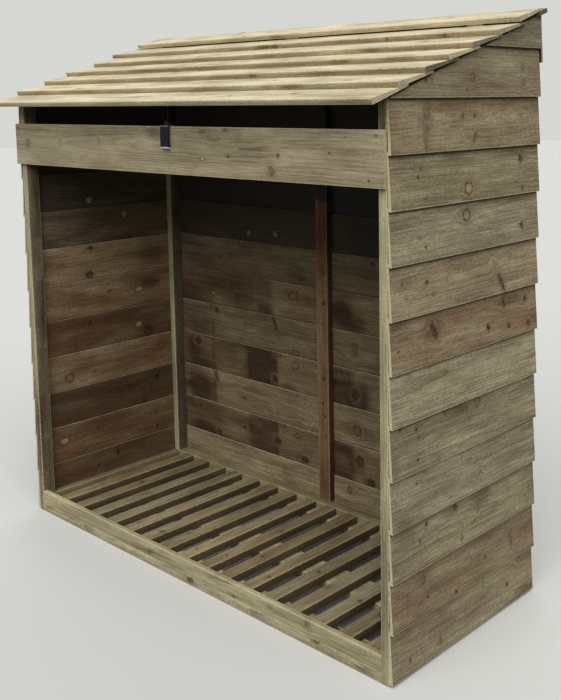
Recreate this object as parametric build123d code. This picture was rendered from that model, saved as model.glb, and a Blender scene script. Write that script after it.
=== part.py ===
from build123d import *
import os
from math import ceil, cos, floor, radians, sin, tan

os.makedirs("parts", exist_ok=True)

# Open fronted timber log store, sizes in millimetres.
# Working frame: x = 0 at the middle of the posts, y = 0 at the front face of the front posts, z = 0 at the ground.
# Everything is moved at the end so that the origin is the bottom centre of the whole store.

# Frame
frame_width = 1794.0
frame_depth = 722.0
eaves_height = 1613.5
roof_pitch = 18.2
post_width = 28.0
post_depth = 50.0
arris = 1.5
fit_gap = 0.1

# Lapped boards of the side and back walls
board_width = 155.0
board_cover = 145.0
board_thin_edge = 4.0
board_thick_edge = 10.0
first_board_thick_edge = 13.0
cladding_clearance = 8.0
cladding_front_drop = 9.5
cladding_rear_drop = 1.0
lap_gap = 0.2
back_top_board_lap = 52.0
back_top_board_extra = 9.0
back_batten_width = 57.0
back_batten_thickness = 26.0

# Floor
bearer_width = 100.0
bearer_height = 32.0
middle_bearer_front = 274.0
front_bearer_joint = 334.0
waney_width = 9.0
waney_height = 18.0
slat_count = 16
slat_width = 52.0
slat_thickness = 28.0
slat_first_gap = 48.0
slat_last_gap = 40.0
front_rail_thickness = 19.0
front_rail_height = 49.0
rear_rail_depth = 50.0
side_rail_height = 50.0

# Fascia and its clip
air_gap = 89.5
fascia_height = 151.0
fascia_thickness = 12.0
fascia_over_left = 14.0
clip_width = 41.0
clip_right_of_middle = 10.5
clip_height = 74.0
clip_metal = 2.5
clip_gap = 0.3
clip_bend = 2.0
clip_stand_off = 8.0
clip_return_leg = 10.0
clip_back_leg = 24.0

# Roof: the boards' left ends and their covers are uneven, listed from the front board to the top one
roof_over_left = (43.0, 48.0, 40.0, 45.0, 20.0, 77.0, 47.0)
roof_over_right = 22.0
roof_front_overhang = 83.5
roof_board_width = 150.0
roof_board_covers = (112.0, 118.0, 108.0, 118.0, 136.0, 115.0)
roof_board_front_edge = 16.0
roof_board_back_edge = 5.0
top_board_width = 132.0
top_board_raise = 13.5
top_board_rear_lap = 18.0
packer_set_back = 2.0
roof_batten_width = 57.0
roof_batten_thickness = 26.0
roof_batten_front_gap = 70.0
roof_batten_rear_gap = 10.0
left_roof_batten_gap = 30.5
right_roof_batten_gap = 84.5
centre_roof_batten_offset = -30.0
rear_roof_batten_width = 42.0
rear_roof_batten_overhang = 18.5

# Worked out from the sizes above
frame_left = -frame_width / 2
frame_right = frame_width / 2
inner_left = frame_left + post_width
inner_right = frame_right - post_width
rear_face = frame_depth - post_depth
slat_top = bearer_height + slat_thickness
slope = tan(radians(roof_pitch))
along_y = cos(radians(roof_pitch))
along_z = sin(radians(roof_pitch))
fascia_top = eaves_height - air_gap
roof_right = frame_right + roof_over_right
rear_batten_end = (frame_depth + rear_roof_batten_overhang) / along_y
rear_batten_start = rear_batten_end - rear_roof_batten_width
top_board_start = rear_batten_start + top_board_rear_lap - top_board_width
roof_run = top_board_start + roof_front_overhang
roof_steps = round(roof_run * len(roof_board_covers) / sum(roof_board_covers))
roof_taper = (roof_board_front_edge - roof_board_back_edge) / roof_board_width


def bar(x0, x1, y0, y1, z0, z1):
    """A square cut timber between two corners."""
    middle = Pos((x0 + x1) / 2, (y0 + y1) / 2, (z0 + z1) / 2)
    return middle * Box(x1 - x0, y1 - y0, z1 - z0)


def planed(timber, axis):
    """The timber with its four long edges eased, as they leave the planer."""
    return fillet(timber.edges().filter_by(axis), arris)


def run_x(points, x0, x1):
    """A piece with one outline in y and z, run from x0 to x1."""
    outline = Plane.YZ * make_face(Polyline(*points, close=True))
    return Pos(x0, 0, 0) * extrude(outline, amount=x1 - x0)


def run_y(points, y0, y1):
    """A piece with one outline in x and z, run from y0 to y1."""
    outline = Plane.XZ * make_face(Polyline(*points, close=True))
    return Pos(0, y0, 0) * extrude(outline, amount=-(y1 - y0))


def roof_height(y):
    """Height of the sloping line that the roof rests on."""
    return eaves_height + y * slope


def on_roof(s, h):
    """Point in y and z at a distance s up the slope and h square off it."""
    return (s * along_y - h * along_z, eaves_height + s * along_z + h * along_y)


def above_roof(front_drop=0, rear_drop=0):
    """The space over the roof line, or over a line that much lower, cut from whatever reaches it."""
    reach = frame_width + frame_depth
    steeper = (front_drop - rear_drop) / frame_depth
    low = roof_height(-reach) - front_drop - steeper * reach
    high = roof_height(reach) - front_drop + steeper * reach
    return run_x([(-reach, low), (reach, high), (-reach, high)], -reach, reach)


def post(x0, y0):
    """A corner post with its top cut to the slope."""
    timber = bar(x0, x0 + post_width, y0, y0 + post_depth, 0, roof_height(y0 + post_depth))
    return planed(timber, Axis.Z) - above_roof()


def lap_offset():
    """How far a wall board's bottom edge stands out, so that it just clears the outer face of the one below."""
    share = (board_width - board_cover) / board_width
    return (board_thin_edge + (board_thick_edge - board_thin_edge) * share + lap_gap) / (1 - share)


def board_outline(bottom, top, bottom_offset, thick_edge, top_offset=0):
    """Outline of a tapered board: distance out from the wall line, and height."""
    inner_top = (top_offset, top)
    outer_top = (top_offset + board_thin_edge, top)
    outer_bottom = (bottom_offset + thick_edge, bottom)
    inner_bottom = (bottom_offset, bottom)
    return [inner_top, outer_top, outer_bottom, inner_bottom]


def course_outline(number):
    """Outline of one board in the stack, the first one flat against the posts."""
    bottom = cladding_clearance + number * board_cover
    top = bottom + board_width
    if number == 0:
        return board_outline(bottom, top, 0, first_board_thick_edge)
    return board_outline(bottom, top, lap_offset(), board_thick_edge)


def side_cladding(wall_x, outward):
    """The lapped boards of one side wall, the upper ones cut to the slope."""
    boards = []
    courses = ceil((roof_height(frame_depth) - cladding_rear_drop - cladding_clearance) / board_cover)
    for number in range(courses):
        outline = [(wall_x + outward * u, z) for u, z in course_outline(number)]
        board = run_y(outline, 0, frame_depth) - above_roof(cladding_front_drop, cladding_rear_drop)
        boards.append(board.solid())
    return Compound(boards)


def back_cladding():
    """The lapped boards of the back wall, and a longer top board that laps further down."""
    top = roof_height(frame_depth) - cladding_rear_drop
    courses = 1 + floor((top - cladding_clearance - board_width) / board_cover)
    boards = []
    for number in range(courses):
        outline = [(frame_depth + u, z) for u, z in course_outline(number)]
        boards.append(run_x(outline, frame_left, frame_right).solid())
    top_of_last = cladding_clearance + (courses - 1) * board_cover + board_width
    bottom = top_of_last - back_top_board_lap
    thin_at_lap = board_thin_edge + lap_gap
    face_slope = (lap_offset() + board_thick_edge - board_thin_edge) / board_width
    offset = thin_at_lap + face_slope * back_top_board_lap
    top_offset = max(0, thin_at_lap - face_slope * (top - top_of_last))
    top_outline = board_outline(bottom, top, offset, board_thick_edge, top_offset)
    outline = [(frame_depth + u, z) for u, z in top_outline]
    boards.append(run_x(outline, frame_left, frame_right + back_top_board_extra).solid())
    return Compound(boards)


def back_batten():
    """The upright in the middle of the back wall, from the rear rail to the roof."""
    half = back_batten_width / 2
    front = frame_depth - back_batten_thickness
    return bar(-half, half, front, frame_depth, slat_top, roof_height(frame_depth)) - above_roof()


def floor_slats():
    """Slats lying front to back on the bearers, from the front rail to the rear rail."""
    slats = []
    first = inner_left + slat_first_gap
    last = inner_right - slat_last_gap - slat_width
    pitch = (last - first) / (slat_count - 1)
    for number in range(slat_count):
        x0 = first + number * pitch
        slat = bar(x0, x0 + slat_width, front_rail_thickness, rear_face, bearer_height, slat_top)
        slats.append(planed(slat, Axis.Y).solid())
    return Compound(slats)


def middle_bearer():
    """The bearer whose front top corner is waney: the rounded outside of the log, left uncut."""
    front = middle_bearer_front
    back = front + bearer_width
    low = (front, bearer_height - waney_height)
    high = (front + waney_width, bearer_height)
    waney_edge = ThreePointArc(low, (front + waney_width / 2.4, bearer_height - waney_height / 3), high)
    square_edges = Polyline(high, (back, bearer_height), (back, 0), (front, 0), low)
    outline = Plane.YZ * make_face(Curve() + [waney_edge, square_edges])
    return Pos(inner_left, 0, 0) * extrude(outline, amount=inner_right - inner_left)


def board_starts():
    """Where each roof board's front edge comes up the slope, the covers repeated and fitted to the run."""
    covers = [roof_board_covers[number % len(roof_board_covers)] for number in range(roof_steps)]
    fit = roof_run / sum(covers)
    starts = [-roof_front_overhang]
    for cover in covers:
        starts.append(starts[-1] + cover * fit)
    return starts


def board_top(front, distance):
    """Height of a lapped board's top face at a distance behind its front edge, whose underside is at front."""
    front_top = front + roof_board_front_edge
    back_top = fit_gap + roof_board_back_edge
    return front_top + (back_top - front_top) * distance / roof_board_width


def board_fronts(starts):
    """Heights of the undersides at the front edges: the first lies flat, each other on the one below it."""
    fronts = [fit_gap]
    for number in range(1, roof_steps):
        cover = starts[number] - starts[number - 1]
        on_face = board_top(fronts[-1], cover) + fit_gap
        over_back_edge = (roof_board_back_edge + 2 * fit_gap) * roof_board_width / cover
        fronts.append(max(on_face, over_back_edge))
    return fronts


def roof_left(number):
    """Where the left end of a roof board comes, numbered from the front."""
    return frame_left - roof_over_left[number % len(roof_over_left)]


def roof_board(number):
    """One lapped roof board, its thick edge to the front and its thin edge on the slope."""
    start = starts[number]
    end = start + roof_board_width
    front = fronts[number]
    points = [on_roof(start, front), on_roof(end, fit_gap), on_roof(end, fit_gap + roof_board_back_edge)]
    points.append(on_roof(start, front + roof_board_front_edge))
    return run_x(points, roof_left(number), roof_right)


def top_roof_board():
    """The top roof board, narrower than the others and raised on packers."""
    end = top_board_start + top_board_width
    back_edge = roof_board_front_edge - roof_taper * top_board_width
    low = top_board_raise + 2 * fit_gap
    points = [on_roof(top_board_start, low), on_roof(end, low), on_roof(end, low + back_edge)]
    points.append(on_roof(top_board_start, low + roof_board_front_edge))
    return run_x(points, roof_left(roof_steps), roof_right)


def roof_packer(x):
    """A thin packer between the board below and the raised top board, at the middle x."""
    front = top_board_start + packer_set_back
    back = starts[-2] + roof_board_width
    front_low = board_top(fronts[-1], front - starts[-2]) + fit_gap
    back_low = board_top(fronts[-1], roof_board_width) + fit_gap
    high = top_board_raise + fit_gap
    points = [on_roof(front, front_low), on_roof(back, back_low), on_roof(back, high), on_roof(front, high)]
    return run_x(points, x - roof_batten_width / 2, x + roof_batten_width / 2)


def roof_batten(x):
    """A batten under the roof boards, laid flat and running up the slope at the middle x."""
    start = roof_batten_front_gap
    end = rear_face / along_y - roof_batten_rear_gap
    low = -roof_batten_thickness
    points = [on_roof(start, low), on_roof(end, low), on_roof(end, 0), on_roof(start, 0)]
    return run_x(points, x - roof_batten_width / 2, x + roof_batten_width / 2)


def rear_roof_batten():
    """The batten along the top of the back wall, under the back edge of the top board."""
    low = fit_gap
    high = top_board_raise + fit_gap
    points = [on_roof(rear_batten_start, low), on_roof(rear_batten_end, low)]
    points.append(on_roof(rear_batten_end, high))
    points.append(on_roof(rear_batten_start, high))
    return run_x(points, frame_left - roof_over_right, roof_right)


def fascia():
    """The board across the front, with an air gap over it."""
    low = fascia_top - fascia_height
    board = bar(frame_left - fascia_over_left, frame_right, -fascia_thickness, 0, low, fascia_top)
    return planed(board, Axis.X)


def fascia_clip():
    """A strip of sheet metal bent over the fascia's top edge; its front leg stands off and turns back below."""
    face = -fascia_thickness - clip_gap
    front = face - clip_stand_off - clip_metal / 2
    back = clip_gap + clip_metal / 2
    top = fascia_top + clip_gap + clip_metal / 2
    bottom = top - clip_height + clip_metal
    touch = face - clip_metal / 2
    points = [(back, top - clip_back_leg), (back, top), (front, top), (front, bottom), (touch, bottom)]
    points.append((touch, bottom + clip_return_leg))
    line = FilletPolyline(*points, radius=clip_bend)
    strip = Plane.YZ * trace(line, line_width=clip_metal)
    return Pos(clip_right_of_middle - clip_width / 2, 0, 0) * extrude(strip, amount=clip_width)


starts = board_starts()
fronts = board_fronts(starts)
pieces = {}

pieces["left_front_post"] = post(frame_left, 0)
pieces["right_front_post"] = post(inner_right, 0)
pieces["left_rear_post"] = post(frame_left, rear_face)
pieces["right_rear_post"] = post(inner_right, rear_face)
side_rail_low = slat_top - side_rail_height
pieces["left_bottom_rail"] = bar(frame_left, inner_left, post_depth, rear_face, side_rail_low, slat_top)
pieces["right_bottom_rail"] = bar(inner_right, frame_right, post_depth, rear_face, side_rail_low, slat_top)
pieces["back_batten"] = back_batten()

joint = front_bearer_joint
rear_bearer_front = frame_depth - bearer_width
pieces["front_bearer_left"] = bar(inner_left, joint - fit_gap, 0, bearer_width, 0, bearer_height)
pieces["front_bearer_right"] = bar(joint, inner_right, 0, bearer_width, 0, bearer_height)
pieces["middle_bearer"] = middle_bearer()
pieces["rear_bearer"] = bar(inner_left, inner_right, rear_bearer_front, frame_depth, 0, bearer_height)
rail_top = bearer_height + front_rail_height
front_rail = bar(inner_left, inner_right, 0, front_rail_thickness, bearer_height, rail_top)
pieces["front_rail"] = planed(front_rail, Axis.X)
rear_rail_front = frame_depth - rear_rail_depth
pieces["rear_rail"] = bar(inner_left, inner_right, rear_rail_front, frame_depth, bearer_height, slat_top)
pieces["floor_slats"] = floor_slats()

pieces["left_cladding"] = side_cladding(frame_left, -1)
pieces["right_cladding"] = side_cladding(frame_right, 1)
pieces["back_cladding"] = back_cladding()
pieces["fascia"] = fascia()
pieces["fascia_clip"] = fascia_clip()

for number in range(roof_steps):
    pieces[f"roof_board_{number + 1}"] = roof_board(number)
pieces[f"roof_board_{roof_steps + 1}"] = top_roof_board()
batten_places = {
    "left": inner_left + left_roof_batten_gap + roof_batten_width / 2,
    "centre": centre_roof_batten_offset,
    "right": inner_right - right_roof_batten_gap - roof_batten_width / 2,
}
for side, x in batten_places.items():
    pieces[f"{side}_roof_batten"] = roof_batten(x)
    pieces[f"{side}_roof_packer"] = roof_packer(x)
pieces["rear_roof_batten"] = rear_roof_batten()

# The origin goes to the bottom centre of the whole store.
left_limit = min(roof_left(number) for number in range(roof_steps + 1))
front_limit = on_roof(-roof_front_overhang, fit_gap + roof_board_front_edge)[0]
rear_limit = on_roof(rear_batten_end, fit_gap)[0]
to_origin = Pos(-(left_limit + roof_right) / 2, -(front_limit + rear_limit) / 2, 0)
for name, piece in pieces.items():
    export_step(to_origin * piece, f"parts/{name}.step")
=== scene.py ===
"""Looks of the open fronted timber log store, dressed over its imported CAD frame.

Every timber is modelled in its own lengthwise frame and then put in its place, so that the grain,
the knots and the saw cuts in its finish follow the timber and not the world. Lengths are in
millimetres and angles in degrees where nothing else is said.
"""
import logging
import random
from dataclasses import dataclass, field, replace
from enum import Enum
from functools import partial
from math import cos, radians, sin, tau
from typing import Callable

import bpy
import numpy as np
from bpy.types import Material, NodeSocket, NodeTree, Object, World
from mathutils import Matrix, Vector, noise


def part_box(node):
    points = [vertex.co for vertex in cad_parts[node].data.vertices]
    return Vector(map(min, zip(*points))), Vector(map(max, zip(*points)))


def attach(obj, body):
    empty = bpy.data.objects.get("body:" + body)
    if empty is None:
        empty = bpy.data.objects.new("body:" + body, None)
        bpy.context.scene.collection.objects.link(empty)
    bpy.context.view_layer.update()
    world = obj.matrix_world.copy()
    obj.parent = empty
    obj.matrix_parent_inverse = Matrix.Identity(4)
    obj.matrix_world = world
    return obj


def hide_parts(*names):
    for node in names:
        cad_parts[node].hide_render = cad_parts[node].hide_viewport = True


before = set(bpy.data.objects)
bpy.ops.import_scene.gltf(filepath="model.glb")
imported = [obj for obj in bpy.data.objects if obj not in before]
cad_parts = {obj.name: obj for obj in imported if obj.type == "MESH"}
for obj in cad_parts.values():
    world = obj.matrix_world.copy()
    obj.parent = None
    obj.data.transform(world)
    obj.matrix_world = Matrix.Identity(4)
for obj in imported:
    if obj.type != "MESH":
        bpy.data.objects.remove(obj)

LOG = logging.getLogger("log_store")
MM = 0.001
TINY = 1e-6
# Distance from a knot or an edge where there is none near.
NONE_NEAR = 90.0
# A face looks along an axis where that part of its normal is above this.
FACING = 0.6
# An edge crosses its face where it is longer than this share of the width.
CROSSING = 0.6
# The subdivide operator makes no more than 100 cuts at a time.
MOST_CUTS = 90
# Edges that turn by less than this are shaded smooth.
SMOOTH_UNDER = 28.0
# Lengths of the wander's long and short waves along, across and through a timber.
LONG_WAVE, SHORT_WAVE = (230.0, 50.0, 20.0), (40.0, 30.0, 10.0)
# How far apart the wander of two seeds is read, in waves.
SEED_STEP = 7.31
# No scattered knot lies nearer than this to a timber's far end.
END_CLEAR = 15.0
# An abrupt patch fades out over this at its ends and at its sides.
END_BLUR, SIDE_BLUR = 12.0, 22.0

Point = tuple[float, float]
Section = tuple[Point, Point, Point, Point]
Adder = Callable[..., NodeSocket | None]
X, Y, Z = Vector((1, 0, 0)), Vector((0, 1, 0)), Vector((0, 0, 1))


def linear(hex_colour: str) -> tuple[float, float, float, float]:
    """Turn an sRGB hex colour into the linear colour that a shader takes.

    Args:
        hex_colour: Six hex digits, red first.

    Returns:
        Red, green, blue and a full alpha.
    """
    parts = [int(hex_colour[i:i + 2], 16) / 255 for i in (0, 2, 4)]
    red, green, blue = (p / 12.92 if p <= 0.04045 else ((p + 0.055) / 1.055) ** 2.4 for p in parts)
    return red, green, blue, 1.0


class KnotKind(Enum):
    """Kinds of knot, each with how dark its heart and its rim are."""

    RING = (0.05, 0.75)
    DARK = (0.85, 0.35)
    PIN = (0.75, 0.15)
    SPIKE = (0.45, 0.30)
    FAINT = (0.15, 0.25)
    PALE = (-0.50, 0.65)
    EYE = (-0.20, 0.90)


RING, DARK, PIN, SPIKE, FAINT, PALE, EYE = KnotKind


@dataclass(frozen=True)
class Knot:
    """A knot on a timber, placed along it from its start and across it from its lower edge."""

    along: float
    across: float
    kind: KnotKind = RING
    half_length: float = 9.0
    half_width: float = 7.0
    turn: float = 0.0


@dataclass(frozen=True)
class Patch:
    """A darker patch, or a paler one where its depth is below zero, placed as a knot is.

    Args:
        along: Place of its middle along the timber.
        across: Place of its middle across it.
        half_length: Half of its length.
        half_width: Half of its width.
        depth: How much darker it is, up to 1, or up to 2 for a near black painted shade where hardly any
            light falls.
        abrupt: It begins and ends abruptly, as dark heartwood does at a whorl of knots.
    """

    along: float
    across: float
    half_length: float
    half_width: float
    depth: float = 0.5
    abrupt: bool = False

    def cover(self, points: np.ndarray) -> np.ndarray:
        """Say how much of the patch lies on each point.

        Args:
            points: Places in the timber's own frame.

        Returns:
            The patch's depth at each.
        """
        along, across = points[:, 0] - self.along, points[:, 1] - self.across
        if self.abrupt:
            ends = np.clip((self.half_length - abs(along)) / END_BLUR + 0.5, 0, 1)
            return self.depth * ends * np.clip((self.half_width - abs(across)) / SIDE_BLUR + 0.5, 0, 1)
        span = np.hypot(along / self.half_length, across / self.half_width)
        return self.depth * np.clip(1.6 - 1.3 * span, 0, 1)


@dataclass(frozen=True)
class Shade:
    """How the colour of some faces departs from their finish.

    Args:
        depth: From 0, the palest wood of the finish, to 1, its deepest.
        warmth: From 0, greenish tan, to 1, pinkish brown.
        light: What the lightness is multiplied by; its lowest values, on the top boards inside, are painted
            shade.
    """

    depth: float = 0.4
    warmth: float = 0.2
    light: float = 1.0


@dataclass(frozen=True)
class Tone:
    """Colours of one timber's faces.

    Args:
        face: Its outer face, and all the others that aren't named.
        back: The face opposite, if it differs.
        edge: Its lower or front edge, if it differs.
        near_end: Colour of the first end's cut, from -1, pale, to 1, dark.
        far_end: The same for the other end.
    """

    face: Shade = Shade()
    back: Shade | None = None
    edge: Shade | None = None
    near_end: float = -0.3
    far_end: float = -0.3


def by_board(kind: type, table: dict[int, list[tuple]]) -> dict[int, list]:
    """Make each board's knots or patches from their values, by the board's place in its stack."""
    return {board: [kind(*values) for values in rows] for board, rows in table.items()}


# Knots of the boards that show, read off the photograph, by the board's place in its stack.
RIGHT_WALL_KNOTS = by_board(Knot, {
    0: [(445, 118, FAINT, 4, 10), (574, 70, DARK, 6, 7), (649, 132, SPIKE, 6, 21, -35),
        (221, 38, RING, 6, 7), (81, 40, PIN, 5, 6)],
    1: [(145, 107, RING, 8, 13), (588, 73, RING, 8, 18, 15), (677, 45, FAINT, 6, 7), (449, 62, PIN, 5, 6),
        (294, 14, DARK, 5, 6), (158, 53, PIN, 6, 7)],
    2: [(158, 123, DARK, 6, 10), (296, 127, DARK, 10, 9), (573, 108, FAINT, 4, 13),
        (603, 26, FAINT, 4, 10), (409, 96, FAINT, 4, 13), (322, 29, FAINT, 6, 16), (126, 84, PIN, 5, 6)],
    3: [(113, 109, PIN, 5, 4), (418, 42, FAINT, 8, 16), (126, 58, FAINT, 7, 3)],
    4: [(405, 126, RING, 13, 15), (246, 135, SPIKE, 12, 12), (556, 67, FAINT, 12, 13),
        (113, 118, DARK, 6, 4), (122, 93, DARK, 6, 4), (113, 35, DARK, 6, 4), (43, 136, PIN, 6, 6),
        (315, 34, FAINT, 12, 12)],
    5: [(126, 99, FAINT, 4, 6), (592, 56, FAINT, 6, 6), (610, 26, FAINT, 6, 6)],
    6: [(189, 90, DARK, 13, 27, 25), (366, 98, FAINT, 5, 6), (453, 53, DARK, 11, 9),
        (561, 39, DARK, 9, 9), (670, 29, DARK, 9, 10), (656, 107, DARK, 7, 10), (538, 114, DARK, 8, 15),
        (32, 62, DARK, 5, 4)],
    7: [(515, 37, DARK, 9, 34, 28), (558, 67, FAINT, 6, 6), (253, 83, FAINT, 4, 16, -30),
        (157, 86, PIN, 7, 6), (49, 94, PIN, 4, 5), (184, 49, FAINT, 5, 7), (66, 54, PIN, 4, 4),
        (573, 114, FAINT, 6, 9)],
    8: [(342, 106, EYE, 17, 16), (627, 48, DARK, 10, 11), (126, 65, PIN, 4, 4), (148, 38, PIN, 4, 4)],
    9: [(131, 104, PIN, 4, 4), (118, 81, DARK, 6, 4), (346, 37, EYE, 18, 17), (622, 107, DARK, 11, 14),
        (624, 17, PIN, 6, 7), (148, 23, PIN, 9, 3)],
    10: [(157, 118, FAINT, 16, 34), (153, 68, FAINT, 7, 14), (148, 30, FAINT, 6, 26),
        (320, 94, PIN, 5, 6), (378, 93, PIN, 5, 6), (374, 34, SPIKE, 6, 17, -30), (619, 91, SPIKE, 11, 6),
        (486, 4, FAINT, 5, 6)],
    11: [(362, 56, RING, 11, 12), (334, 20, FAINT, 5, 8), (148, 46, PIN, 4, 5), (97, 23, FAINT, 6, 8),
        (627, 41, FAINT, 11, 12), (626, 91, FAINT, 8, 9)],
})
LEFT_WALL_KNOTS = by_board(Knot, {
    0: [(350, 120, DARK, 7, 13), (446, 91, PIN, 10, 6), (617, 78, PIN, 7, 4)],
    1: [(599, 92, PALE, 23, 14), (146, 100, RING, 8, 9), (138, 39, DARK, 7, 9), (443, 105, PIN, 7, 6)],
    2: [(134, 114, DARK, 11, 11), (317, 94, PIN, 7, 6), (202, 18, DARK, 8, 11)],
    3: [(562, 56, RING, 20, 18), (445, 60, PIN, 7, 4), (128, 107, FAINT, 16, 13)],
    4: [(218, 72, PALE, 18, 15), (458, 119, DARK, 12, 12), (559, 129, PIN, 9, 4), (364, 68, FAINT, 10, 6),
        (528, 33, RING, 8, 8), (172, 37, SPIKE, 21, 26)],
    5: [(356, 91, PIN, 10, 6), (211, 78, PALE, 20, 13), (152, 95, SPIKE, 42, 22), (588, 123, FAINT, 18, 4)],
    6: [(442, 137, DARK, 14, 8), (448, 27, DARK, 19, 16, 25)],
    7: [(271, 115, PALE, 15, 17), (246, 15, DARK, 15, 8)],
    8: [(436, 42, PALE, 19, 16)],
})
BACK_WALL_KNOTS = by_board(Knot, {
    0: [(790, 115, SPIKE, 15, 16)],
    1: [(1667, 126, PIN, 14, 9), (1381, 86, PIN, 13, 9), (1544, 22, DARK, 13, 23, -20),
        (1151, 147, RING, 17, 11), (1066, 120, RING, 18, 12), (1182, 72, DARK, 21, 17),
        (1029, 30, DARK, 22, 15), (738, 95, DARK, 20, 24), (684, 23, DARK, 20, 20)],
    2: [(1554, 130, DARK, 11, 27, -20), (1377, 68, PIN, 13, 7), (1024, 128, FAINT, 11, 14),
        (1195, 88, FAINT, 9, 17), (1059, 22, FAINT, 12, 12), (751, 68, RING, 20, 20)],
    3: [(1668, 125, DARK, 21, 18), (1172, 148, RING, 20, 12), (1076, 115, RING, 22, 15),
        (1372, 62, FAINT, 12, 13), (1192, 40, DARK, 18, 17), (760, 61, DARK, 20, 23)],
    4: [(1541, 131, DARK, 14, 10), (1365, 101, FAINT, 12, 15), (1186, 128, DARK, 9, 33, -20),
        (1075, 23, RING, 17, 12), (758, 89, SPIKE, 15, 23), (1646, 15, PIN, 7, 9)],
    5: [(1564, 57, PALE, 9, 6), (1080, 107, RING, 28, 18), (722, 56, SPIKE, 29, 11)],
    6: [(1372, 149, PALE, 12, 7), (1034, 47, FAINT, 22, 24), (667, 133, DARK, 14, 7),
        (1518, 76, PIN, 10, 6)],
    7: [(1331, 45, PALE, 14, 13), (1176, 54, PALE, 14, 15)],
    8: [(1170, 84, FAINT, 11, 12)],
})
FASCIA_KNOTS = [Knot(*values) for values in (
    (84, 80, SPIKE, 13, 15), (303, 88, FAINT, 10, 11), (547, 94, FAINT, 7, 9), (871, 126, FAINT, 31, 19),
    (1094, 138, SPIKE, 14, 6), (1200, 143, SPIKE, 11, 6), (1144, 121, FAINT, 28, 12),
    (1090, 54, PALE, 9, 5), (1210, 66, DARK, 7, 4), (1393, 30, SPIKE, 11, 14, 25), (1422, 73, PIN, 6, 6),
    (1618, 87, DARK, 4, 3), (1758, 19, PIN, 5, 4), (1783, 135, PIN, 5, 3), (1676, 128, FAINT, 5, 3))]
RAIL_KNOTS = [Knot(*values) for values in (
    (425, 35, FAINT, 14, 8), (1123, 4, PIN, 10, 6), (1294, 32, FAINT, 9, 7), (689, 16, FAINT, 11, 7),
    (1453, 36, SPIKE, 13, 10, 30))]
BEARER_KNOTS = [Knot(*values) for values in (
    (1485, 37, DARK, 16, 16, 30), (1668, 54, FAINT, 11, 15), (305, 19, SPIKE, 27, 12),
    (907, 19, PIN, 16, 11))]
UPRIGHT_KNOTS = [Knot(*values) for values in (
    (906, 32, SPIKE, 24, 14), (780, 36, DARK, 9, 8), (488, 32, DARK, 10, 10), (389, 26, DARK, 9, 6),
    (340, 36, PIN, 12, 6), (260, 38, PIN, 12, 6), (700, 30, PIN, 6, 5), (1060, 20, PIN, 8, 6))]

# Colours of the boards, from the lowest up: the right wall's outer faces, the others' inner ones.
RIGHT_WALL_SHADES = [Shade(*values) for values in (
    (0.15, 0.2, 0.98), (0.1, 0.4, 0.87), (0.3, 0.1, 1.02), (0.1, 0, 0.98), (0.5, 0, 1.13),
    (0.2, 0.05, 1.16), (0.25, 0.5, 0.9), (0.15, 0.3, 1.05), (0.3, 0.05, 0.97), (0.65, 0, 1.2),
    (0.15, 0.35, 0.99), (0.35, 0.15, 0.97), (0.35, 0, 0.75))]
# From the ninth board up the left wall's inner faces are darkened: painted shade under the roof.
LEFT_WALL_SHADES = [Shade(*values) for values in (
    (0.35, 1, 0.39), (0.15, 0.95, 0.58), (0.35, 1, 0.35), (0.1, 0.75, 0.84), (0.1, 0.9, 0.55),
    (0.1, 0.75, 0.96), (0.1, 0.6, 1.1), (0.1, 0.4, 0.54), (0.2, 0.3, 0.27), (0.2, 0.2, 0.16),
    (0.2, 0.2, 0.12), (0.2, 0.2, 0.12), (0.2, 0.2, 0.12))]
# From the eighth board up the back wall's inner faces are darkened to near black: painted shade under the
# roof.
BACK_WALL_SHADES = [Shade(*values) for values in (
    (0.3, 0, 0.96), (0.35, 0.3, 0.76), (0.35, 0.05, 0.92), (0.4, 0.15, 0.84), (0.35, 0.15, 0.76),
    (0.35, 0.3, 0.88), (0.25, 0.15, 0.68), (0.2, 0.2, 0.22), (0.2, 0.1, 0.04), (0.2, 0.1, 0.05),
    (0.2, 0.1, 0.07), (0.2, 0.1, 0.07), (0.2, 0.1, 0.07))]
# The right ends of the roof boards, from -1, pale, to 1, dark.
ROOF_ENDS = (-0.6, -0.3, 0.9, -0.5, 0.7, 0.3, -0.3)

# Dark and pale patches of the same boards.
RIGHT_WALL_PATCHES = by_board(Patch, {
    0: [(59, 125, 45, 30, 0.35)],
    1: [(530, 120, 110, 34, 0.4), (149, 120, 46, 24, 0.25)],
    2: [(277, 132, 45, 26, 0.65), (430, 123, 50, 30, 0.6), (59, 115, 60, 34, 0.45)],
    3: [(281, 28, 62, 18, 0.4), (366, 38, 51, 19, 0.35), (47, 13, 48, 18, 0.45)],
    4: [(314, 126, 62, 20, 0.65), (31, 142, 44, 20, 0.45), (5, 36, 32, 30, 0.35)],
    5: [(217, 40, 68, 18, 0.2), (450, 80, 260, 16, -0.25)],
    6: [(180, 94, 56, 38, 0.6), (599, 112, 95, 24, 0.35), (40, 133, 46, 20, 0.4)],
    7: [(580, 45, 80, 20, 0.2)],
    8: [(21, 111, 64, 18, 0.25)],
    9: [(283, 133, 58, 18, 0.55), (170, 58, 180, 10, 0.25), (616, 134, 92, 14, 0.3)],
    10: [(621, 128, 108, 30, 0.45, True), (268, 120, 104, 17, 0.3), (154, 80, 34, 70, 0.45)],
    11: [(502, 136, 210, 22, 0.25), (148, 41, 36, 17, 0.2)],
    12: [(527, 33, 105, 17, 0.2)],
})
LEFT_WALL_PATCHES = by_board(Patch, {
    0: [(390, 140, 230, 22, 0.3)],
    1: [(383, 142, 230, 20, 0.25)],
    2: [(350, 112, 300, 26, 0.35), (174, 61, 84, 53, 0.2)],
    3: [(604, 30, 70, 40, 0.25), (240, 40, 150, 18, 0.3)],
    4: [(171, 59, 64, 46, 0.4), (363, 125, 244, 22, 0.3)],
    5: [(152, 95, 76, 34, 0.5)],
    6: [(150, 75, 90, 80, 0.35)],
    7: [(320, 60, 165, 90, 0.5)],
})
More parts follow.
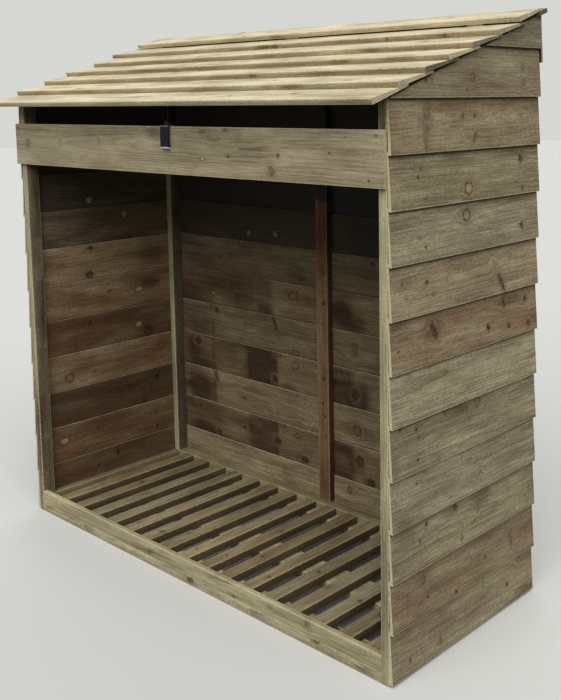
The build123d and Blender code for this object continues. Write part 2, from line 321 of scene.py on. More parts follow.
BACK_WALL_PATCHES = by_board(Patch, {
    0: [(1684, 57, 115, 60, 0.35), (1130, 60, 42, 60, 0.25), (790, 135, 75, 34, 0.4)],
    1: [(1440, 69, 90, 80, 0.55, True), (1263, 83, 88, 90, 0.9, True), (1656, 56, 126, 90, 0.7, True),
        (1674, 30, 104, 32, 0.5), (1109, 31, 63, 30, 0.4), (1054, 27, 25, 29, 0.6),
        (828, 78, 60, 80, 0.85, True), (748, 78, 40, 41, 0.7), (692, 25, 37, 35, 0.8)],
    2: [(1670, 67, 120, 90, 1.1), (1330, 78, 150, 70, 0.2), (736, 75, 102, 25, 0.3),
        (1572, 78, 6, 80, 0.4, True)],
    3: [(1270, 78, 90, 90, 0.6, True), (1471, 78, 298, 90, 0.68, True), (1654, 16, 110, 32, 0.6),
        (1697, 89, 62, 50, 0.4), (826, 75, 58, 80, 1.1, True), (738, 46, 60, 76, 1.25),
        (1115, 24, 49, 27, 0.5), (1572, 78, 6, 80, 0.3, True)],
    4: [(1261, 146, 72, 16, 0.5), (660, 35, 40, 32, 0.5), (1570, 40, 6, 40, 0.3, True),
        (1650, 60, 140, 90, 0.5)],
    5: [(1248, 78, 47, 84, 0.65, True), (1252, 25, 56, 31, 0.5), (1498, 37, 61, 37, -0.35, True),
        (1540, 78, 240, 90, 0.7, True), (822, 73, 62, 76, 1.1), (739, 123, 66, 17, -0.5),
        (752, 32, 52, 38, 0.85)],
    6: [(1621, 35, 120, 74, 0.25), (1068, 51, 50, 64, 0.3), (757, 97, 113, 34, 0.25)],
    # Painted shade: these two darken the top boards towards the corner under the roof.
    7: [(700, 70, 170, 90, 1.1)],
    8: [(700, 70, 170, 90, 1.2)],
})
FASCIA_PATCHES = [Patch(*values) for values in (
    (850, 125, 34, 22, 0.4), (1256, 123, 20, 14, 0.4), (61, 72, 60, 40, 0.15), (1658, 70, 76, 18, 0.2),
    (1108, 136, 34, 11, 0.4), (230, 60, 320, 60, -0.45), (1393, 30, 40, 24, 0.35))]
# The first patch darkens the upright's top to near black: painted shade behind the fascia.
UPRIGHT_PATCHES = [Patch(*values) for values in (
    (1520, 28, 350, 90, 2, True), (1060, 28, 180, 60, 0.6), (80, 40, 120, 60, 0.5), (500, 34, 60, 14, 0.5),
    (360, 34, 120, 12, 0.5))]
# Patches of the posts, left front, right front and left rear.
POST_PATCHES = by_board(Patch, {
    0: [(1290, 40, 200, 22, 0.6, True), (480, 34, 170, 22, 0.45, True), (280, 0, 240, 14, 0.9),
        (800, 40, 120, 18, 0.5, True), (180, 34, 110, 22, 0.4, True)],
    # The right front post's first patch is painted shade under the roof.
    1: [(1500, 25, 130, 70, 0.95), (150, 25, 330, 70, 0.35)],
    # The left rear post's first patch is painted shade, near black, and its last, pale one is painted light.
    2: [(1700, 25, 180, 60, 2, True), (1300, 34, 230, 22, 0.6, True), (330, 34, 420, 40, 0.4),
        (1310, 0, 130, 12, -0.6)],
})
# Dark patches on the front edges of the roof boards, by the board's place from the front.
ROOF_PATCHES = by_board(Patch, {
    0: [(1800, 0, 62, 9, 0.25)],
    1: [(1476, 0, 46, 9, 0.7), (1376, 0, 22, 8, 0.35)],
    2: [(1190, 0, 18, 8, 0.7), (1510, 0, 60, 8, 0.35)],
    3: [(1465, 0, 48, 9, 0.9), (1684, 0, 60, 8, 0.5)],
    4: [(1466, 0, 34, 8, 0.6), (1000, 0, 50, 8, 0.35)],
    5: [(912, 0, 44, 9, 0.85), (972, 0, 18, 9, 0.9), (1480, 0, 9, 8, 0.8), (1695, 0, 10, 9, 0.8)],
    6: [(838, 0, 42, 8, 0.55)],
})


@dataclass
class Timber:
    """One length of timber in its own frame: x along it, y across it and z through it.

    Args:
        name: Name of the piece or of the part of a piece.
        length: Its length.
        profile: Corners of its section (y, z), lower back, lower face, upper face and upper back.
        place: Turns and moves the finished timber into the store's frame.
        tone: Its colour, with painted shade or painted light on some faces.
        knots: Its knots.
        patches: Its stains, with painted shade and painted light on some timbers.
        cell: Spacing of its mesh lines.
        arris: How far its long edges are eased.
        cuts: Planes (point, normal) in the store's frame past which the timber is sawn off.
        wave: How far its faces and edges wander.
        seed: Seed of its log, which sets where its rings lie.
        lap: How far up its face the next board begins, or 0 where none lies over it.
        patched_face: The face that its stains and painted shade lie on, 1 for the outer, -1 for the inner and
            0 for all.
    """

    name: str
    length: float
    profile: Section
    place: Matrix
    tone: Tone = Tone()
    knots: list[Knot] = field(default_factory=list)
    patches: list[Patch] = field(default_factory=list)
    cell: float = 16.0
    arris: float = 0.8
    cuts: list[tuple[Vector, Vector]] = field(default_factory=list)
    wave: float = 0.5
    seed: int = 1
    lap: float = 0.0
    patched_face: int = 0

    def build(self) -> Object:
        """Model the timber and write its grain.

        Returns:
            The finished mesh object, with its place in its mesh.
        """
        self.width = max(y for y, _ in self.profile)
        self._blank()
        select_edges(self.piece, lengthwise)
        edit(self.piece, bpy.ops.mesh.bevel, offset=self.arris * MM, segments=2, affect="EDGES")
        self._divide()
        self._saw_off()
        self._wander()
        self._write_grain()
        self.piece.data.transform(self.place)
        self.piece.data.update()
        return self.piece

    def _blank(self) -> None:
        """Add a cube of the timber's size and draw its long edges to the section."""
        bpy.ops.object.select_all(action="DESELECT")
        bpy.ops.mesh.primitive_cube_add(size=1, location=(0, 0, 0))
        self.piece = bpy.context.object
        self.piece.name = self.piece.data.name = self.name
        corners = dict(zip(((False, False), (False, True), (True, True), (True, False)), self.profile))
        for vertex in self.piece.data.vertices:
            x, y, z = vertex.co
            across, through = corners[(y > 0, z > 0)]
            vertex.co = ((x + 0.5) * self.length * MM, across * MM, through * MM)

    def _divide(self) -> None:
        """Cut the faces into cells, so that knots and a slight wander have something to hold on to."""
        lines = max(1, round(self.length / self.cell) - 1)
        for cuts in ([lines] if lines <= MOST_CUTS else [lines // 2, 1]):
            select_edges(self.piece, lengthwise)
            edit(self.piece, bpy.ops.mesh.subdivide, number_cuts=cuts)
        lines = round(self.width / self.cell) - 1
        if lines > 0:
            long = CROSSING * self.width * MM
            select_edges(self.piece, lambda a, b: abs(a.x - b.x) < TINY and abs(a.y - b.y) > long)
            edit(self.piece, bpy.ops.mesh.subdivide, number_cuts=lines)

    def _saw_off(self) -> None:
        """Saw off what lies past each cutting plane and close the cut."""
        back = self.place.inverted()
        for point, normal in self.cuts:
            point, normal = back @ point, back.to_3x3() @ normal
            if max((vertex.co - point).dot(normal) for vertex in self.piece.data.vertices) > TINY:
                mark(self.piece, True)
                edit(self.piece, bpy.ops.mesh.bisect, plane_co=point, plane_no=normal,
                     use_fill=True, clear_outer=True, threshold=TINY)

    def _wander(self) -> None:
        """Let the faces wander inwards a little, as sawn timber does."""
        middle = Vector((0, *(sum(values) / 4 * MM for values in zip(*self.profile))))
        offset = Vector((self.seed * SEED_STEP, 0, 0))
        for vertex in self.piece.data.vertices:
            at = vertex.co
            long, short = (Vector([a / (b * MM) for a, b in zip(at, wave)])
                           for wave in (LONG_WAVE, SHORT_WAVE))
            swell = 0.5 * noise.noise(long + offset) + 0.15 * noise.noise(short - offset)
            amount = (0.5 + swell) * self.wave * MM
            inwards = Vector((0, middle.y - at.y, middle.z - at.z))
            if inwards.length > TINY:
                vertex.co = at + inwards.normalized() * max(0.0, amount)

    def _write_grain(self) -> None:
        """Write the attributes that the wood finish reads, from the timber's own frame."""
        mesh = self.piece.data
        self.points = read(mesh.vertices, "co", 3) / MM
        self.corners = self.points[read(mesh.loops, "vertex_index").astype(int)]
        self.owner = np.repeat(np.arange(len(mesh.polygons)), [p.loop_total for p in mesh.polygons])
        self.facing = read(mesh.polygons, "normal", 3)[self.owner]
        self._write_log()
        self._write_knots()
        self._write_tone()
        self._write_margin()
        # The patches: stains, with painted shade and painted light on some timbers.
        stain = sum((patch.cover(self.points) for patch in self.patches), np.zeros(len(self.points)))
        if self.patched_face:
            turned = self.patched_face * read(mesh.vertex_normals, "vector", 3)[:, 2]
            stain *= np.clip(0.5 + 1.5 * turned, 0, 1)
        self._write("stain", np.clip(stain, -1, 2))

    def _write(self, name: str, values: np.ndarray) -> None:
        """Add an attribute to the mesh.

        Args:
            name: Its name.
            values: A number or a vector for each of the points or of the face corners.
        """
        kind, part = ("FLOAT_VECTOR", "vector") if values.ndim > 1 else ("FLOAT", "value")
        domain = "POINT" if len(values) == len(self.points) else "CORNER"
        attribute = self.piece.data.attributes.new(name, kind, domain)
        attribute.data.foreach_set(part, values.astype(np.float32).ravel())

    def _write_log(self) -> None:
        """Write where each point lay in the log, with the pith at y = z = 0."""
        draw = random.Random(self.seed)
        # The pith ran 25 to 70 mm off the face or the back, somewhere over the width.
        pith = np.array([draw.uniform(-9000, 9000), -self.width * draw.random(), draw.uniform(25, 70)])
        if draw.random() < 0.5:
            pith[2] = -pith[2]
        log = self.points + pith
        log[:, 1] += self.points[:, 0] * draw.uniform(-0.02, 0.02)
        log[:, 2] += self.points[:, 0] * draw.uniform(-0.015, 0.015)
        self._write("grain", log)

    def _write_knots(self) -> None:
        """Write each face corner's place about the knot nearest to its face, one at the knot's rim."""
        knot = np.tile((NONE_NEAR, NONE_NEAR, 0.0), (len(self.corners), 1))
        look = np.zeros((len(self.corners), 3))
        if self.knots:
            faces = self.piece.data.polygons
            centres = np.array([self.points[list(face.vertices)].mean(0) for face in faces])
            spans = [np.hypot(*(centres[:, :2] - (k.along, k.across)).T) / max(k.half_length, k.half_width)
                     for k in self.knots]
            nearest = np.array(spans).argmin(0)[self.owner]
            for number, k in enumerate(self.knots):
                here = nearest == number
                along, across = (self.corners[here, :2] - (k.along, k.across)).T
                c, s = cos(radians(k.turn)), sin(radians(k.turn))
                knot[here, 0] = (along * c + across * s) / k.half_length
                knot[here, 1] = (across * c - along * s) / k.half_width
                look[here] = (*k.kind.value, k.half_width)
        self._write("knot", knot)
        self._write("knot_look", look)

    def _write_margin(self) -> None:
        """Write each face corner's distance from its face's long edges and from the board over it."""
        height = self.corners[:, 1]
        low, high = (f(z for y, z in self.profile if y < self.width / 2) for f in (min, max))
        margin = np.full((len(height), 3), NONE_NEAR)
        margin[:, 0] = height
        margin[:, 1] = self.width - height
        if self.lap:
            # Inside, the board below hides this one's foot: its top edge shows, and the dirt and painted
            # shadow lie on the lap.
            inner = self.facing[:, 2] < -FACING
            margin[:, 0] = np.where(inner, self.width - height + 2, height)
            margin[:, 1] = NONE_NEAR
            margin[:, 2] = np.where(inner, height - self.width + self.lap + 3, self.lap - height)
        side = abs(self.facing[:, 1]) > FACING
        margin[side, 0] = self.corners[side, 2] - low
        margin[side, 1] = high - self.corners[side, 2]
        margin[side, 2] = NONE_NEAR
        self._write("margin", margin)

    def _write_tone(self) -> None:
        """Write the timber's colours, with painted shade or painted light on some faces, and its end cuts."""
        tone = np.empty((len(self.facing), 3))
        for shade, here in ((self.tone.face, slice(None)), (self.tone.back, self.facing[:, 2] < -FACING),
                            (self.tone.edge, self.facing[:, 1] < -FACING)):
            if shade:
                tone[here] = (shade.depth, shade.warmth, shade.light)
        self._write("tone", tone)
        cut = np.zeros(len(self.facing))
        cut[self.facing[:, 0] < -FACING] = self.tone.near_end
        cut[self.facing[:, 0] > FACING] = self.tone.far_end
        self._write("cut", cut)


def read(items: bpy.types.bpy_prop_collection, name: str, width: int = 1) -> np.ndarray:
    """Read a property of every vertex, corner or face of a mesh.

    Args:
        items: The vertices, corners or faces.
        name: Name of the property.
        width: How many numbers it has.

    Returns:
        A number for each, or a row of them.
    """
    values = np.empty(len(items) * width)
    items.foreach_get(name, values)
    return values.reshape(-1, width) if width > 1 else values


def mark(piece: Object, selected: bool) -> None:
    """Select or deselect every vertex, edge and face of a piece."""
    for group in (piece.data.vertices, piece.data.edges, piece.data.polygons):
        group.foreach_set("select", [selected] * len(group))


def lengthwise(a: Vector, b: Vector) -> bool:
    """Say whether an edge between two points runs along its timber."""
    return abs(a.x - b.x) > abs(a.y - b.y) + abs(a.z - b.z)


def select_edges(piece: Object, wanted: Callable[[Vector, Vector], bool]) -> None:
    """Select a piece's edges by the places of their two ends.

    Args:
        piece: The piece, in object mode.
        wanted: Says whether an edge between two points is to be selected.
    """
    mark(piece, False)
    for edge in piece.data.edges:
        ends = [piece.data.vertices[number] for number in edge.vertices]
        if wanted(*(end.co for end in ends)):
            for chosen in (edge, *ends):
                chosen.select = True


def edit(piece: Object, operator: Callable[..., set], **settings: object) -> None:
    """Run one modelling operator on a piece's selected edges.

    Args:
        piece: The piece.
        operator: The operator from bpy.ops.mesh.
        settings: The operator's settings.
    """
    bpy.ops.object.select_all(action="DESELECT")
    piece.select_set(True)
    bpy.context.view_layer.objects.active = piece
    bpy.context.tool_settings.mesh_select_mode = (False, True, False)
    bpy.ops.object.mode_set(mode="EDIT")
    operator(**settings)
    bpy.ops.object.mode_set(mode="OBJECT")


def axes(origin: tuple[float, float, float], along: Vector, across: Vector) -> Matrix:
    """Make the matrix that lays a timber in its place.

    Args:
        origin: Where the timber's own zero point goes.
        along: Direction of its length.
        across: Direction of its width.

    Returns:
        The matrix from the timber's frame to the store's.
    """
    matrix = Matrix((along, across, along.cross(across))).transposed().to_4x4()
    matrix.translation = Vector(origin) * MM
    return matrix


def box_of(node: str) -> list[Vector]:
    """Give the low and the high corner of a node's box."""
    return [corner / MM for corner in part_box(node)]


# The setting that the second word of a node's kind gives.
MAIN_SETTING = {"Attribute": "attribute_name", "MapRange": "interpolation_type", "Math": "operation",
                "Mix": "data_type", "VectorMath": "operation"}
# The inputs that the values go to and the output handed back, where they aren't the first ones.
PLUGS = {"Attribute": ((), 1), "Mix": ((0, 6, 7), 2), "SCALE": ((0, 3), 0), "LENGTH": ((0,), 1)}


def add_node(tree: NodeTree, kind: str, *values: object, inputs: dict[str, object] | None = None,
             out: str | None = None, **settings: object) -> NodeSocket | None:
    """Add a shader node with its settings, values and links.

    Args:
        tree: The node tree.
        kind: The node's type, without its ShaderNode prefix, and after a space its main setting.
        values: A value, hex colour or socket to link for each input in turn.
        inputs: The same by the inputs' names.
        out: Name of the output to hand back, if it isn't the usual one.
        settings: The node's other settings.

    Returns:
        The output, if it has any.
    """
    kind, _, main = kind.partition(" ")
    new = tree.nodes.new("ShaderNode" + kind)
    if main:
        settings[MAIN_SETTING[kind]] = main
    for name, value in settings.items():
        setattr(new, name, value)
    numbers, usual = PLUGS.get(main) or PLUGS.get(kind) or (range(len(values)), 0)
    for key, value in (*zip(numbers, values), *(inputs or {}).items()):
        socket = new.inputs[key]
        if isinstance(value, NodeSocket):
            tree.links.new(value, socket)
        else:
            colour = isinstance(value, str)
            socket.default_value = linear(value)[:len(socket.default_value)] if colour else value
    return new.outputs[out or usual] if new.outputs else None


def cleared(block: Material | World) -> Adder:
    """Empty a material or a world of its nodes.

    Args:
        block: The material or the world.

    Returns:
        What adds a node to it.
    """
    block.use_nodes = True
    block.node_tree.nodes.clear()
    return partial(add_node, block.node_tree)


@dataclass(frozen=True)
class WoodFinish:
    """Pressure treated spruce, sawn or planed, as it dries out of doors.

    The treatment leaves a greenish tan that weather bleaches. Rings show as fine darker lines along the
    timber, the fibres as a lighter and darker fleck, and the saw as a faint ripple across it.

    Args:
        name: Name of the material.
        pale: Colour of the palest wood.
        deep: Colour of the deepest wood.
        warm: Colour that warmer timbers lean to.
        ring: Colour of the dense late part of a ring.
        heart: Colour of a knot's heart.
        halo: Colour of the resinous wood about a knot.
        stain: What the colour is multiplied by where damp or heartwood darkens it, and under painted shade.
        end_pale: Colour of a fresh end cut.
        end_dark: Colour of a weathered end cut.
        ring_width: Width of a year's growth.
        ring_share: How much the rings show.
        streak_share: How much the long streaks show.
        fleck_share: How much the fibres show.
        grit_share: How much the roughness of the sawn face shows.
        fringe_share: How much its bleached long edges show.
        lap_share: How much the dirt and painted shadow under a lap show.
        lap_reach: How far it reaches from the lap.
        saw_pitch: Spacing of the saw's ripples.
        saw_share: How much the ripples show.
        roughness: Roughness of the surface.
        relief: Depth of the surface's relief.
    """

    name: str
    pale: str
    deep: str
    warm: str
    ring: str = "6f5a3c"
    heart: str = "2e2116"
    halo: str = "6f5236"
    stain: str = "937c6c"
    end_pale: str = "cfc39c"
    end_dark: str = "5f5648"
    ring_width: float = 8.0
    ring_share: float = 0.55
    streak_share: float = 0.85
    fleck_share: float = 0.24
    grit_share: float = 0.34
    fringe_share: float = 0.7
    lap_share: float = 0.85
    lap_reach: float = 10.0
    saw_pitch: float = 5.0
    saw_share: float = 0.05
    roughness: float = 0.82
    relief: float = 0.5

    def make(self) -> Material:
        """Build the material's nodes.

        Returns:
            The material.
        """
        material = bpy.data.materials.new(self.name)
        WoodGraph(self, cleared(material)).wire()
        return material


@dataclass
class WoodGraph:
    """Wires the nodes of a wood finish step by step, from the attributes that the timbers carry.

    Args:
        wood: The finish.
        add: Adds a node to its tree.
    """

    wood: WoodFinish
    add: Adder

    def wire(self) -> None:
        """Lay the steps over each other, from the clear wood to the dirt, and join them to the shader."""
        add, wood = self.add, self.wood
        self.grain = add("Attribute grain")
        self.depth, self.warmth, self.light = add("SeparateXYZ", add("Attribute tone")).node.outputs
        self.heart, self.rim, self.half_width = add("SeparateXYZ", add("Attribute knot_look")).node.outputs
        self._bend()
        self._draw_patterns()
        self._clear_wood()
        self._grit()
        self._weather()
        self._knots()
        self._margins()
        # The tone's light multiplier; its lowest values, inside under the roof, are painted shade.
        self.colour = add("VectorMath SCALE", self.colour, self.light)
        # The pale hearts of knots stay pale on a dark board too.
        bright = add("Math MAXIMUM", self.light, 0.8)
        inside = add("MapRange SMOOTHSTEP", self.span, 1.0, 0.6)
        self._lay(add("VectorMath SCALE", wood.end_pale, bright), inside, self.heart, -1.0)
        # On the cut ends the rings show as arcs.
        arcs = add("MapRange", self.rings, 0.0, 1.0, 1.06, 0.72)
        cut = add("Attribute cut", out="Fac")
        self._lay(add("VectorMath SCALE", wood.end_pale, arcs), cut, -1.0)
        self._lay(add("VectorMath SCALE", wood.end_dark, arcs), cut, 1.0)
        rough = add("MapRange", self.fleck, 0.0, 1.0, wood.roughness - 0.08, wood.roughness + 0.08)
        shader = add("BsdfPrincipled", inputs={"Base Color": self.colour, "Roughness": rough, "IOR": 1.5,
                                               "Specular IOR Level": 0.35, "Normal": self._relief()})
        add("OutputMaterial", shader)

    def _blotches(self, place: NodeSocket, long: float, wide: float, detail: float,
                  roughness: float = 0.5) -> NodeSocket:
        """Draw blotches of one size along the timber and of another across it.

        Args:
            place: Place in the log.
            long: Their size along the timber.
            wide: Their size across it.
            detail: How many finer layers they have.
            roughness: How strong those are.

        Returns:
            Their strength, mostly from 0.3 to 0.7.
        """
        scaled = self.add("VectorMath MULTIPLY", place, (1 / long, 1 / wide, 1 / wide))
        return self.add("TexNoise", inputs={"Vector": scaled, "Scale": 1.0, "Detail": detail,
                                            "Roughness": roughness})

    def _hump(self, value: NodeSocket, top: float, sharpness: float) -> NodeSocket:
        """Make a smooth hump.

        Args:
            value: What it runs over.
            top: Value at which it is one.
            sharpness: How steeply it falls on both sides.

        Returns:
            The hump.
        """
        off = self.add("Math SUBTRACT", value, top)
        fall = self.add("Math MULTIPLY", self.add("Math MULTIPLY", off, off), -sharpness)
        return self.add("Math EXPONENT", fall)

    def _lay(self, paint: str | NodeSocket, *shares: NodeSocket | float) -> None:
        """Lay a colour over what is there.

        Args:
            paint: The colour.
            shares: What is multiplied to say how much of it shows.
        """
        share = shares[0]
        for other in shares[1:]:
            share = self.add("Math MULTIPLY", share, other)
        self.colour = self.add("Mix RGBA", share, self.colour, paint)

    def _bend(self) -> None:
        """Measure the distance from the knot, one at its rim, and part the grain about it."""
        add = self.add
        knot = add("Attribute knot")
        # The rim of a knot wavers over about 8 mm, and more so the darker its heart is.
        self.mottle = self._blotches(self.grain, 8, 8, 2)
        clean = add("VectorMath LENGTH", knot)
        reach = add("MapRange", self.heart, 0.0, 1.0, 0.35, 0.85)
        waver = add("Math MULTIPLY", add("Math SUBTRACT", self.mottle, 0.5), reach)
        self.span = add("Math ADD", clean, waver)
        across = add("Math MULTIPLY", add("SeparateXYZ", knot).node.outputs[1], self.half_width)
        push = add("Math MULTIPLY", across, self._hump(clean, 0.0, 0.3))
        x, y, z = add("SeparateXYZ", self.grain).node.outputs
        self.bent = add("CombineXYZ", x, add("Math SUBTRACT", y, push), z)

    def _draw_patterns(self) -> None:
        """Draw the rings, the streaks, the fleck of the fibres and broad clouds, each from 0 to 1."""
        add, year = self.add, self.wood.ring_width
        # A log wanders over about a metre of its length, and by a ring or two across it.
        drift = self._blotches(self.bent, 900, 75, 2)
        radius = add("VectorMath LENGTH", add("VectorMath MULTIPLY", self.bent, (0, 1, 1)))
        wander = add("MapRange", drift, 0.0, 1.0, -2.6 * year, 2.6 * year)
        years = add("Math DIVIDE", add("Math ADD", radius, wander), year)
        self.rings = add("Math POWER", add("Math FRACT", years), 3.0)
        # Streaks run some 600 mm along the timber and are about 12 mm wide.
        self.streak = self._blotches(self.bent, 600, 12, 3, 0.62)
        # Fibres are far finer than this; 70 by 2.6 mm is the finest fleck that shows at this distance.
        self.fleck = self._blotches(self.bent, 70, 2.6, 2)
        # Broad clouds, 230 by 60 mm, let all of these come and go.
        self.cloud = self._blotches(self.grain, 230, 60, 3)

    def _clear_wood(self) -> None:
        """Colour the clear wood."""
        add, wood, cloud = self.add, self.wood, self.cloud
        lean = add("MapRange", self.streak, 0.25, 0.75, -0.5 * wood.streak_share, 0.5 * wood.streak_share)
        self.colour = add("Mix RGBA", add("Math ADD", self.depth, lean), wood.pale, wood.deep)
        self._lay(wood.warm, self.warmth, add("MapRange", cloud, 0.3, 0.7, 0.5, 1.4))
        # The rings come and go along the timber, as the saw runs more or less square to them.
        shown = add("MapRange", cloud, 0.35, 0.62, 0.25 * wood.ring_share, 1.5 * wood.ring_share)
        self._lay(wood.ring, self.rings, shown)
        dapple = add("MapRange", self.fleck, 0.3, 0.7, 1 - wood.fleck_share, 1 + wood.fleck_share)
        light = add("Math MULTIPLY", dapple, add("MapRange", cloud, 0.3, 0.7, 1.2, 0.78))
        self.colour = add("VectorMath SCALE", self.colour, light)

    def _grit(self) -> None:
        """Roughen the colour with torn fibres, the saw's scratches and, on deep faces, black specks."""
        add, wood = self.add, self.wood
        # Torn fibres are under a millimetre across; tufts of them, 11 by 6 mm, are what shows from here.
        tufts = self._blotches(self.grain, 11, 6, 3, 0.75)
        # The band saw scratches straight across the timber, some 7 mm apart.
        scratches = add("Math MULTIPLY", self._blotches(self.grain, 7, 40, 2), 0.16)
        light = add("MapRange", add("Math ADD", tufts, scratches), 0.36, 0.8, 1 - wood.grit_share,
                    1 + wood.grit_share, clamp=False)
        self.colour = add("VectorMath SCALE", self.colour, light)
        # Mould settles in specks some 5 by 2.5 mm on the faces that stay damp.
        specks = add("MapRange", self._blotches(self.grain, 11, 4, 3, 0.6), 0.53, 0.68)
        self._lay(wood.heart, specks, add("MapRange", self.depth, 0.55, 1.0, 0.0, 0.7))

    def _weather(self) -> None:
        """Darken the damp patches and the painted shade, to near black past 1, and bleach the dry patches and
        the painted light.
        """
        add, wood = self.add, self.wood
        stain = add("Attribute stain", out="Fac")
        damp = add("VectorMath MULTIPLY", self.colour, wood.stain)
        self._lay(damp, stain, add("MapRange", self.cloud, 0.3, 0.7, 0.7, 1.2))
        # Past 1 the patch is painted shade, down to near black where hardly any light falls.
        painted_shade = add("MapRange", stain, 1.0, 2.0, 1.0, 0.06)
        self.colour = add("VectorMath SCALE", self.colour, painted_shade)
        self._lay(wood.pale, stain, -1.0)

    def _knots(self) -> None:
        """Lay the knots over the clear wood."""
        add, wood, mottle = self.add, self.wood, self.mottle
        strong = add("Math MAXIMUM", self.heart, self.rim)
        around = add("MapRange SMOOTHSTEP", self.span, 2.8, 0.9, 0.0, 0.5)
        self._lay(wood.halo, around, strong)
        inside = add("MapRange SMOOTHSTEP", self.span, 1.1, 0.7)
        self._lay(wood.heart, self.heart, add("MapRange", mottle, 0.38, 0.6, 1.1, 0.55), inside)
        broken = add("MapRange", mottle, 0.4, 0.62, 1.25, 0.6)
        self._lay(wood.heart, self._hump(self.span, 0.92, 34.0), broken, self.rim)
        # The saw tears the fibres beside a knot, and the torn ones catch the light.
        torn = add("MapRange", mottle, 0.52, 0.6, 0.0, 0.2)
        self._lay(wood.end_pale, self._hump(self.span, 1.45, 9.0), torn, strong)

    def _margins(self) -> None:
        """Bleach the long edges and lay a line of dirt and painted shadow under each lap."""
        add, wood, mottle = self.add, self.wood, self.mottle
        lower, upper, lap = add("SeparateXYZ", add("Attribute margin")).node.outputs
        # A sawn edge is furred for a millimetre or so, drawn some 3 mm wide so that it shows from here.
        fringe = add("MapRange", add("Math MINIMUM", lower, upper), 4.4, 1.6, 0.0, wood.fringe_share)
        self._lay(wood.end_pale, fringe, add("MapRange", mottle, 0.35, 0.6, 0.3, 1.2))
        # Under each lap the board is darkened: dirt, and a painted shadow of the lap.
        lap_dirt_and_shade = add("MapRange SMOOTHSTEP", lap, wood.lap_reach, 1.5, 0.0, wood.lap_share)
        self._lay(wood.heart, lap_dirt_and_shade, add("MapRange", mottle, 0.35, 0.6, 1.1, 0.7))

    def _relief(self) -> NodeSocket:
        """Raise the late wood, the fibres and the saw's ripples.

        Returns:
            The surface normal.
        """
        add, wood = self.add, self.wood
        turns = add("Math MULTIPLY", add("SeparateXYZ", self.grain), tau / wood.saw_pitch)
        saw = add("Math MULTIPLY", add("Math SINE", turns), wood.saw_share)
        height = add("Math ADD", saw, add("Math MULTIPLY", self.rings, 0.35))
        height = add("Math ADD", height, self.fleck)
        return add("Bump", inputs={"Height": height, "Distance": wood.relief * MM, "Strength": 1.0})


@dataclass(frozen=True)
class BlackSteelFinish:
    """Sheet steel with a thin black paint: dull, scuffed to slate blue with a painted sheen, and with painted
    highlights on its lower lip and its top bend.
    """

    name: str = "black_painted_sheet_steel"
    paint: str = "0b0f18"
    scuff_and_sheen: str = "2a3850"
    lip_highlight: str = "c9ccce"
    bend_highlight: str = "767b82"

    def make(self) -> Material:
        """Build the material's nodes.

        Returns:
            The material.
        """
        material = bpy.data.materials.new(self.name)
        add = cleared(material)
        place = add("TexCoord", out="Object")
        # Scuffs in the paint, which also paint a faint sheen, are about 12 mm across.
        scuff = add("TexNoise", inputs={"Vector": place, "Scale": 1 / (12 * MM), "Detail": 4.0})
        share = add("MapRange", scuff, 0.55, 0.72, 0.0, 0.55)
        colour = add("Mix RGBA", share, self.paint, self.scuff_and_sheen)
        height = add("SeparateXYZ", place, out="Z")
        low, high = (corner.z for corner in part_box("fascia_clip"))
        # Painted highlights: a pale line along its lower lip, and a grey one where it bends over the top.
        lip = add("MapRange", height, low + 7.5 * MM, low + 5.5 * MM)
        colour = add("Mix RGBA", lip, colour, self.lip_highlight)
        bend = add("MapRange", height, high - 6.5 * MM, high - 3.5 * MM, 0.0, 0.8)
        colour = add("Mix RGBA", bend, colour, self.bend_highlight)
        rough = add("MapRange", scuff, 0.0, 1.0, 0.62, 0.85)
        add("OutputMaterial", add("BsdfPrincipled", inputs={"Base Color": colour, "Roughness": rough,
                                                            "Specular IOR Level": 0.2}))
        return material


@dataclass(frozen=True)
class Setting:
    """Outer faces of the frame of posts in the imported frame."""

    left: float
    right: float
    front: float
    rear: float

    @classmethod
    def from_frame(cls) -> "Setting":
        """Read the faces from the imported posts."""
        low, high = box_of("left_front_post")[0], box_of("right_rear_post")[1]
        return cls(low.x, high.x, low.y, high.y)

    @property
    def depth(self) -> float:
        """Give the depth over the posts."""
        return self.rear - self.front


@dataclass
class Carpenter:
    """Makes timbers for the nodes of the frame and dresses them.

    Args:
        finishes: Material of each finish by its slot.
        made: The finished pieces.
    """

    finishes: dict[str, Material]
    made: list[Object] = field(default_factory=list)

    def fit(self, timbers: list[Timber], node: str, slot: str) -> None:
        """Build the timbers that stand for one node of the frame, and join them into one piece.

        Args:
            timbers: The timbers.
            node: The node that they replace.
            slot: Slot of their finish.
        """
        parts = [timber.build() for timber in timbers]
        bpy.ops.object.select_all(action="DESELECT")
        for part in parts:
            part.select_set(True)
        piece = bpy.context.view_layer.objects.active = parts[0]
        if len(parts) > 1:
            bpy.ops.object.join()
        piece.name = piece.data.name = node + "_timber"
        piece.data.materials.clear()
        piece.data.materials.append(self.finishes[slot])
        bpy.ops.object.shade_smooth_by_angle(angle=radians(SMOOTH_UNDER))
        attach(piece, "root")
        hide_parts(node)
        self.made.append(piece)

    def squared(self, node: str, slot: str, along: Vector, across: Vector | None = None,
                **details: object) -> None:
        """Build one square edged timber over a node's own box.

        Args:
            node: The node.
            slot: Slot of its finish.
            along: Direction of its length.
            across: Direction of its width, if it isn't the first level one.
            details: Further fields of the timber.
        """
        low, high = box_of(node)
        if across is None:
            across = Y if along == X else X
        towards = along + across + along.cross(across)
        start = [low[i] if towards[i] > 0 else high[i] for i in range(3)]
        length, wide, thick = (abs((high - low).dot(v)) for v in (along, across, along.cross(across)))
        section = (0.0, 0.0), (0.0, thick), (wide, thick), (wide, 0.0)
        self.fit([Timber(node, length, section, axes(start, along, across), **details)], node, slot)


